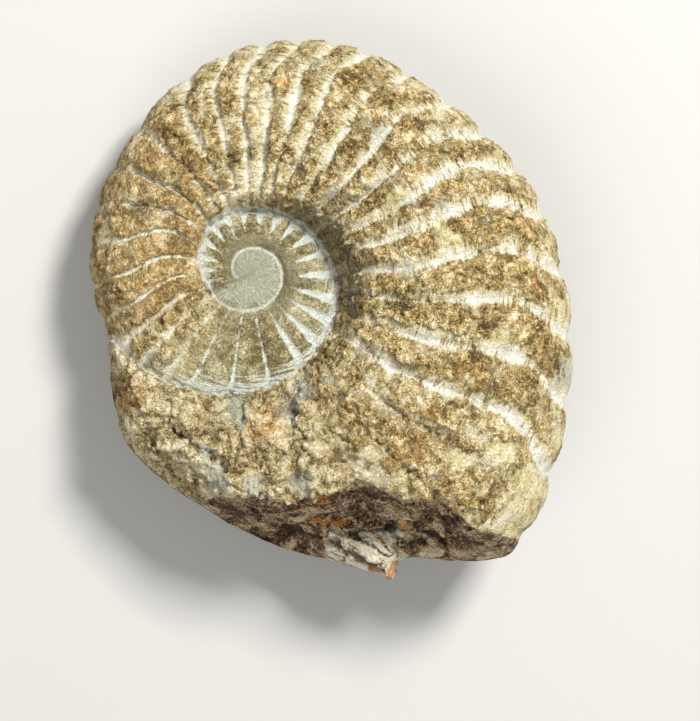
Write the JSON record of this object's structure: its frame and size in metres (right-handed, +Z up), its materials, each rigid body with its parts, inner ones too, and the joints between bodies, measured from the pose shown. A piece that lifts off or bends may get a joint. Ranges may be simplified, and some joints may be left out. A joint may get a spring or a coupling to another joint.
{
  "type": "fossil ammonite",
  "caption": "Fossil ammonite lying on its flank: a ribbed, flat-coiled shell turned to stone, with part of the last whorl broken away to rough rock.",
  "frame": {"origin": "middle of the footprint, at the level of the surface that the fossil rests on", "axes": "+Z up, out of the flank that faces the viewer; +Y along the longest extent, towards the whole edge of the shell; the broken face is towards -Y and the widest whorl towards +X"},
  "size_m": [0.1243, 0.1403, 0.0545],
  "materials": {
    "fossil_stone": "matte, weathered"
  },
  "bodies": {
    "root": {"ammonite": "fossil_stone"}
  },
  "joints": []
}
